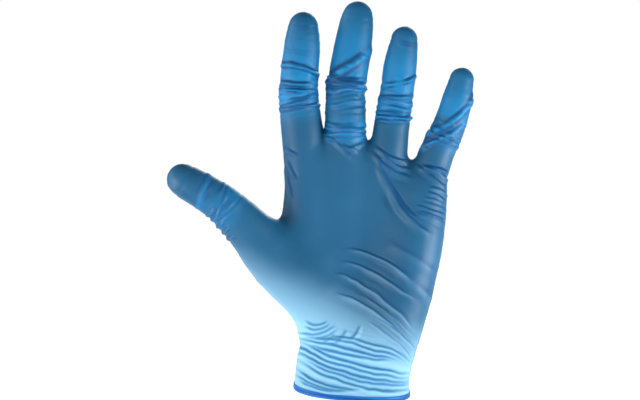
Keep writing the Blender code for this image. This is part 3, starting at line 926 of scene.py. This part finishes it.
def bead_piece(rim_points, material):
    """The rolled edge: a tube along the mouth, whose section is an oval with a notch.

    The radius is less by a bell at the notch, where the roll meets the film. Along the tube the notch moves
    round by a sine of the turn and by noise, and the radius swells and shrinks with noise.
    """
    line, turn = mouth_line(rim_points)
    way = np.roll(line, -1, axis=0) - np.roll(line, 1, axis=0)
    way /= np.linalg.norm(way, axis=1)[:, None]
    out = np.cross(way, (0.0, 0.0, 1.0))
    out /= np.linalg.norm(out, axis=1)[:, None]
    up = np.cross(out, way)
    round_it = np.linspace(0.0, 2 * math.pi, BEAD_SIDES, endpoint=False)
    drift = NOTCH_DRIFT * lattice_noise(line / DRIFT_LONG, 51)[:, None]
    notch = NOTCH_AT + NOTCH_SWAY * np.sin(2.0 * turn)[:, None] + drift
    gap = (round_it - notch + math.pi) % (2 * math.pi) - math.pi
    swell = 1.0 + SWELL * lattice_noise(line / SWELL_LONG, 53)[:, None]
    radius = BEAD_RADIUS * (swell - NOTCH_DEPTH * np.exp(-((gap / NOTCH_WIDTH) ** 2)))
    ring = np.cos(round_it)[:, None] * out[:, None] + BEAD_TALL * np.sin(round_it)[:, None] * up[:, None]
    points = (line[:, None] + radius[..., None] * ring).reshape(-1, 3)
    i, j = np.meshgrid(np.arange(BEAD_STATIONS), np.arange(BEAD_SIDES), indexing="ij")
    on, along = (j + 1) % BEAD_SIDES, (i + 1) % BEAD_STATIONS
    corners = ((i, j), (along, j), (along, on), (i, on))
    quads = np.stack([row * BEAD_SIDES + side for row, side in corners], -1)
    mesh = bpy.data.meshes.new("bead")
    mesh.from_pydata((points * MM).tolist(), [], quads.reshape(-1, 4)[:, ::-1].tolist())
    mesh.shade_smooth()
    # The crease at the notch gets painted shade.
    add_mark(mesh, "crease_shade", np.exp(-((gap / CREASE_WIDTH) ** 2)).ravel())
    return add_object("bead", mesh, material)


# ---------------------------------------------------------------- materials

# A Mix node's sockets for a factor and two colours, and for the colour that comes out.
MIX_INPUTS, MIX_RESULT = (0, 6, 7), 2


def mixed(tree, factor, a, b):
    """A colour between a and b. Each of the three is a socket or a plain value."""
    node = tree.nodes.new("ShaderNodeMix")
    node.data_type = "RGBA"
    for number, value in zip(MIX_INPUTS, (factor, a, b)):
        if isinstance(value, bpy.types.NodeSocket):
            tree.links.new(value, node.inputs[number])
        else:
            node.inputs[number].default_value = value
    return node.outputs[MIX_RESULT]


def film_grain():
    """Cloudiness and fine grain of a dipped film: a mask from 0 to 1, and a height for a bump."""
    group = bpy.data.node_groups.new("film_grain", "ShaderNodeTree")
    for name in ("Cloud Scale", "Grain Scale"):
        group.interface.new_socket(name, in_out="INPUT", socket_type="NodeSocketFloat")
    for name in ("Cloud", "Height"):
        group.interface.new_socket(name, in_out="OUTPUT", socket_type="NodeSocketFloat")
    inside, outside = group.nodes.new("NodeGroupInput"), group.nodes.new("NodeGroupOutput")
    place_on = group.nodes.new("ShaderNodeTexCoord")
    for name, detail, output in (("Cloud Scale", 3.0, "Cloud"), ("Grain Scale", 2.0, "Height")):
        noise = group.nodes.new("ShaderNodeTexNoise")
        noise.inputs["Detail"].default_value = detail
        group.links.new(place_on.outputs["Object"], noise.inputs["Vector"])
        group.links.new(inside.outputs[name], noise.inputs["Scale"])
        group.links.new(noise.outputs["Fac"], outside.inputs[output])
    return group


GRAIN = film_grain()

# How dark the clouds are, the scale of clouds and grain, and the grain's bump, whose distance is in metres.
CLOUD_SHADE, CLOUD_SCALE, GRAIN_SCALE = 0.75, 38.0, 900.0
BUMP_STRENGTH, BUMP_DISTANCE = 0.25, 0.00015
FILM_IOR, FILM_SPECULAR = 1.45, 0.22


def film_material(name, drawn, marked, roughness):
    """Dipped film: a cloudy colour for where it is drawn tight, and one for each mark of the mesh."""
    material = bpy.data.materials.new(name)
    material.use_nodes = True
    tree = material.node_tree
    shader = tree.nodes["Principled BSDF"]
    shader.inputs["Roughness"].default_value = roughness
    shader.inputs["IOR"].default_value = FILM_IOR
    shader.inputs["Specular IOR Level"].default_value = FILM_SPECULAR
    grain = tree.nodes.new("ShaderNodeGroup")
    grain.node_tree = GRAIN
    grain.inputs["Cloud Scale"].default_value = CLOUD_SCALE
    grain.inputs["Grain Scale"].default_value = GRAIN_SCALE
    colour = mixed(tree, grain.outputs["Cloud"], drawn, (*(CLOUD_SHADE * value for value in drawn[:3]), 1.0))
    for mark, shade in marked.items():
        attribute = tree.nodes.new("ShaderNodeAttribute")
        attribute.attribute_name = mark
        colour = mixed(tree, attribute.outputs["Fac"], colour, shade)
    tree.links.new(colour, shader.inputs["Base Color"])
    bump = tree.nodes.new("ShaderNodeBump")
    bump.inputs["Strength"].default_value = BUMP_STRENGTH
    bump.inputs["Distance"].default_value = BUMP_DISTANCE
    tree.links.new(grain.outputs["Height"], bump.inputs["Height"])
    tree.links.new(bump.outputs["Normal"], shader.inputs["Normal"])
    return material


# ---------------------------------------------------------------- making

# Film is pale below a slanting line, painted light partly from film drawn thin, with painted highlights
# on crests; a stronger blue where it is slack, partly painted light on the upper fingers; darkest in the
# feet of folds, painted shade; and elsewhere its own blue, made darker as painted shade for the palm.
film = film_material("nitrile_film", drawn=(0.005, 0.062, 0.134, 1.0), roughness=0.5, marked={
    "thin_and_lit": (0.22, 0.44, 0.60, 1.0), "slack_and_lit": (0.002, 0.142, 0.325, 1.0), "crease_shade": (0.001, 0.036, 0.115, 1.0),
})
# The bead is darker in the crease at its notch: painted shade.
bead_film = film_material("rolled_bead", drawn=(0.010, 0.20, 0.56, 1.0), roughness=0.4, marked={
    "crease_shade": (0.002, 0.045, 0.22, 1.0),
})
film_points, film_quads = film_surface()
heights, marks = film_heights(film_points, vertex_normals(film_points, film_quads))
piece_of, piece_names = sort_faces(film_points, film_quads)
film_points = film_points + heights[:, None] * vertex_normals(film_points, film_quads)
film_normals = vertex_normals(film_points, film_quads)
pieces = {name: film_piece(name, film_points, film_normals, film_quads[piece_of == number], marks, film)
          for number, name in enumerate(piece_names)}
for name in ("palm_film", "back_film"):
    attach(pieces[name], "hand")
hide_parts("palm")
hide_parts("back_of_hand")
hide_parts("cuff_sleeve", "wrist_fold")
wrist = np.array(JOINTS["wrist_bend"]["pos_m"])
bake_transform(pieces["cuff_film"])
for name, knuckles in KNUCKLES.items():
    for knuckle, (start, end) in zip(knuckles, turns_of(name)[0]):
        joint = JOINTS[f"{name}_{knuckle}_bend"]
        piece = pieces[f"{name}_{knuckle}_film"]
        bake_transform(piece)
        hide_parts(f"{name}_{knuckle}_fold", *frame["record"]["behaviour"]["bodies"][joint["child"]][:1])
bead = bead_piece(film_points[rim_vertices(film_quads, len(film_points))], bead_film)
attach(bead, "cuff")
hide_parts("rolled_bead")

# ---------------------------------------------------------------- studio, in metres

FLOOR_HEIGHT, FLOOR_REACH = -0.03, 4.0
FLOOR_SHADE, FLOOR_ROUGHNESS, FLOOR_GLOW = 0.92, 0.9, 0.72


def floor_material():
    """White, and glowing a little so that it stays white under soft light."""
    material = bpy.data.materials.new("studio_white")
    material.use_nodes = True
    shader = material.node_tree.nodes["Principled BSDF"]
    shader.inputs["Base Color"].default_value = (FLOOR_SHADE, FLOOR_SHADE, FLOOR_SHADE, 1.0)
    shader.inputs["Roughness"].default_value = FLOOR_ROUGHNESS
    shader.inputs["Emission Color"].default_value = (1.0, 1.0, 1.0, 1.0)
    shader.inputs["Emission Strength"].default_value = FLOOR_GLOW
    return material


def add_floor():
    """A flat square below the glove."""
    corners = [(x * FLOOR_REACH, y * FLOOR_REACH, FLOOR_HEIGHT)
               for x, y in ((-1, -1), (1, -1), (1, 1), (-1, 1))]
    mesh = bpy.data.meshes.new("floor")
    mesh.from_pydata(corners, [], [range(4)])
    obj = add_object("floor", mesh, floor_material())


add_floor()

# The camera is level with the hand and in front of it, and takes in so much from side to side there.
CAMERA_PLACE = (-0.0184, -0.750, 0.114)
VIEW_WIDTH = 0.3808


def add_camera():
    """A level camera that looks along +Y."""
    camera = bpy.data.objects.new("camera", bpy.data.cameras.new("camera"))
    camera.location = CAMERA_PLACE
    camera.rotation_euler = (math.pi / 2, 0.0, 0.0)
    camera.data.lens = camera.data.sensor_width * -CAMERA_PLACE[1] / VIEW_WIDTH
    bpy.context.scene.collection.objects.link(camera)
    bpy.context.scene.camera = camera


add_camera()

LIGHT_SPREAD = math.radians(50.0)


def add_light(name, place_at, aim, size, power):
    """A square lamp of so many metres and watts, which shines at a point."""
    light = bpy.data.lights.new(name, "AREA")
    light.size = size
    light.spread = LIGHT_SPREAD
    light.energy = power
    obj = bpy.data.objects.new(name, light)
    obj.location = place_at
    obj.rotation_euler = (Vector(aim) - Vector(place_at)).to_track_quat("-Z", "Y").to_euler()
    bpy.context.scene.collection.objects.link(obj)


add_light("lower_left", (-0.36, -0.20, -0.015), (-0.05, 0.0, 0.06), 0.22, 0.42)
add_light("lower_right", (0.34, -0.15, 0.0), (0.04, 0.0, 0.06), 0.22, 0.62)
add_light("front", (-0.5, -1.1, 0.9), (0.0, 0.0, 0.14), 0.8, 0.6)
add_light("left", (-0.7, -0.02, 0.34), (-0.02, 0.0, 0.14), 0.5, 0.5)
add_light("back", (0.3, 1.1, 0.7), (0.0, 0.0, 0.12), 0.8, 1.4)

SKY_LIGHT = 0.35


def add_surroundings():
    """A white background that lights the glove less than it shows."""
    world = bpy.data.worlds.new("world")
    bpy.context.scene.world = world
    world.use_nodes = True
    tree = world.node_tree
    sky = tree.nodes["Background"]
    sky.inputs["Color"].default_value = (1.0, 1.0, 1.0, 1.0)
    rays = tree.nodes.new("ShaderNodeLightPath")
    strength = tree.nodes.new("ShaderNodeMath")
    strength.operation = "MAXIMUM"
    strength.inputs[1].default_value = SKY_LIGHT
    tree.links.new(rays.outputs["Is Camera Ray"], strength.inputs[0])
    tree.links.new(strength.outputs["Value"], sky.inputs["Strength"])


add_surroundings()
bpy.context.scene.view_settings.view_transform = "Standard"
